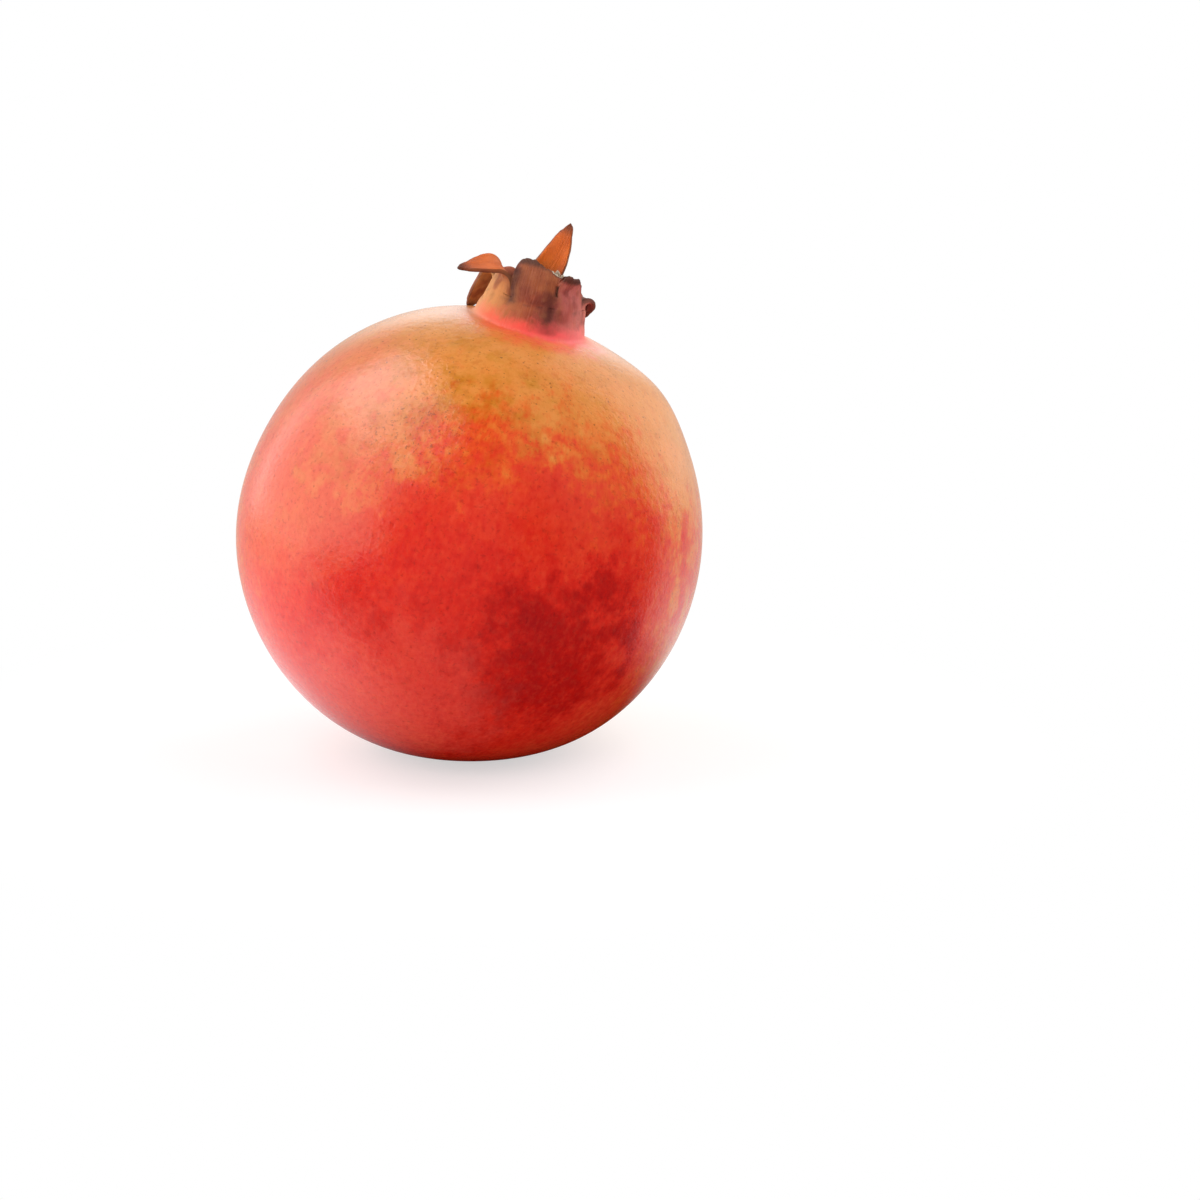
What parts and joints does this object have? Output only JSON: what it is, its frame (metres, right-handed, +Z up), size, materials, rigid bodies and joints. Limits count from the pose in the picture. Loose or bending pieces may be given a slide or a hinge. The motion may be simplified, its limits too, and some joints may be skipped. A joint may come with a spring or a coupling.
{
  "type": "pomegranate",
  "caption": "Whole ripe pomegranate standing on its base, a round leathery fruit with an open crown of curled sepals around dried stamens.",
  "frame": {"origin": "middle of the small flat spot that the fruit rests on, on the surface below it", "axes": "+Z up from that surface; the crown leans from +Z towards +X"},
  "size_m": [0.0919, 0.0918, 0.1046],
  "materials": {
    "rind": "waxy semi-gloss, red with an orange and olive-yellow cheek",
    "dried_stamens": "dry and matte, pale tan to brown",
    "stalk_wood": "dry bark, clipped end paler"
  },
  "bodies": {
    "root": {"fruit": "rind", "stamens": "dried_stamens", "stem_stub": "stalk_wood"}
  },
  "joints": []
}
